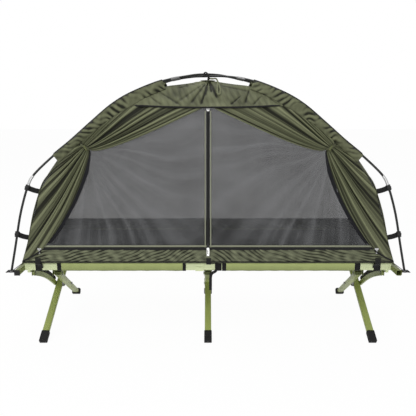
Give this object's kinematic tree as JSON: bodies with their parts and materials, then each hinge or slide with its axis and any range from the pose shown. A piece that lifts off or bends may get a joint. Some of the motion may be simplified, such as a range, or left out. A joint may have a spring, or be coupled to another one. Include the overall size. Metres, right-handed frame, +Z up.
{
  "type": "tent cot",
  "caption": "Folding camp bed on crossed legs with a small two-pole dome tent on it: mesh door, tied-back flaps, zips and end bars.",
  "frame": {"origin": "on the ground, under the middle of the bed", "axes": "+X along the bed to the right as seen from the door, +Y away from the door side, +Z up"},
  "size_m": [1.9232, 0.77, 1.3283],
  "materials": {
    "olive_paint": "satin olive powder coat",
    "black_paint": "black coated sheet steel",
    "dark_steel": "dark zinc plate",
    "black_rubber": "matt black",
    "black_plastic": "matt black",
    "bed_cloth": "light olive woven canvas",
    "tent_cloth": "dark olive polyester",
    "webbing": "black webbing",
    "net": "grey insect mesh",
    "pole_coat": "dark glass fibre rod",
    "silver": "bright metal"
  },
  "bodies": {
    "cot_base": {"rear_foot_leg_left": "olive_paint", "rear_foot_leg_middle": "olive_paint", "rear_foot_leg_right": "olive_paint", "rear_foot_left": "black_rubber", "rear_foot_middle": "black_rubber", "rear_foot_right": "black_rubber", "front_brace_left": "olive_paint", "front_brace_right": "olive_paint", "brace_strap_left": "webbing", "brace_strap_right": "webbing", "cross_bolt_left": "dark_steel", "cross_bolt_middle": "dark_steel", "cross_bolt_right": "dark_steel"},
    "front_foot_frame": {"front_foot_leg_left": "olive_paint", "front_foot_leg_middle": "olive_paint", "front_foot_leg_right": "olive_paint", "front_foot_left": "black_rubber", "front_foot_middle": "black_rubber", "front_foot_right": "black_rubber"},
    "front_side_rail": {"front_rail_left": "olive_paint", "front_rail_right": "olive_paint", "front_hinge_plate": "black_paint", "front_bracket_left": "black_paint", "front_bracket_middle": "black_paint", "front_bracket_right": "black_paint", "brace_bracket_left": "black_paint", "brace_bracket_right": "black_paint", "strap_left": "webbing", "strap_middle": "webbing", "strap_right": "webbing", "bed_canvas": "bed_cloth"},
    "rear_side_rail": {"rear_rail_left": "olive_paint", "rear_rail_right": "olive_paint", "rear_hinge_plate": "black_paint", "rear_bracket_left": "black_paint", "rear_bracket_middle": "black_paint", "rear_bracket_right": "black_paint"},
    "left_end_bar": {"end_bar_left": "olive_paint", "end_bar_cap_left": "black_plastic"},
    "right_end_bar": {"end_bar_right": "olive_paint", "end_bar_cap_right": "black_plastic"},
    "tent": {"tent_tub": "tent_cloth", "pole_one": "pole_coat", "pole_two": "pole_coat", "end_wall_left": "tent_cloth", "end_wall_right": "tent_cloth", "front_mesh": "net", "rear_mesh": "net", "front_hood": "tent_cloth", "rear_hood": "tent_cloth", "door_flap_left": "tent_cloth", "door_flap_right": "tent_cloth", "zip_tapes": "webbing", "corner_tab_front_left": "webbing", "corner_tab_front_right": "webbing", "corner_tab_rear_left": "webbing", "corner_tab_rear_right": "webbing"},
    "middle_zip_slider": {"zip_slider_middle": "silver"},
    "left_zip_slider": {"zip_slider_left": "silver"},
    "right_zip_slider": {"zip_slider_right": "silver"}
  },
  "joints": [
    {"name": "cot_fold", "type": "hinge", "parent": "cot_base", "child": "front_foot_frame", "pos_m": [0, 0, 0.19289], "axis": [1, 0, 0], "range_deg": [0, 107]},
    {"name": "front_rail_turn", "type": "hinge", "parent": "cot_base", "child": "front_side_rail", "pos_m": [0, -0.305, 0.367], "axis": [1, 0, 0], "range_deg": [0, 53.6], "deforming": ["bed_canvas"]},
    {"name": "rear_rail_turn", "type": "hinge", "parent": "front_foot_frame", "child": "rear_side_rail", "pos_m": [0, 0.305, 0.367], "axis": [1, 0, 0], "range_deg": [-53.6, 0]},
    {"name": "tent_lift", "type": "slide", "parent": "cot_base", "child": "tent", "axis": [0, 0, 1], "range_m": [0, 0.842]},
    {"name": "left_end_bar_lift", "type": "slide", "parent": "cot_base", "child": "left_end_bar", "axis": [0, 0, 1], "range_m": [0, 0.468]},
    {"name": "right_end_bar_lift", "type": "slide", "parent": "cot_base", "child": "right_end_bar", "axis": [0, 0, 1], "range_m": [0, 0.468]},
    {"name": "middle_zip", "type": "slide", "parent": "tent", "child": "middle_zip_slider", "axis": [0, 0.2363, 0.9717], "range_m": [0, 0.62]},
    {"name": "left_zip", "type": "slide", "parent": "tent", "child": "left_zip_slider", "axis": [1, 0, 0], "range_m": [0, 0.74]},
    {"name": "right_zip", "type": "slide", "parent": "tent", "child": "right_zip_slider", "axis": [-1, 0, 0], "range_m": [0, 0.74]}
  ],
  "couplings": [
    {"joint": "front_rail_turn", "follows": "cot_fold", "ratio": 0.5},
    {"joint": "rear_rail_turn", "follows": "cot_fold", "ratio": -0.5},
    {"joint": "tent_lift", "follows": "cot_fold", "m_per_rad": 0.45},
    {"joint": "left_end_bar_lift", "follows": "cot_fold", "m_per_rad": 0.25},
    {"joint": "right_end_bar_lift", "follows": "cot_fold", "m_per_rad": 0.25}
  ]
}
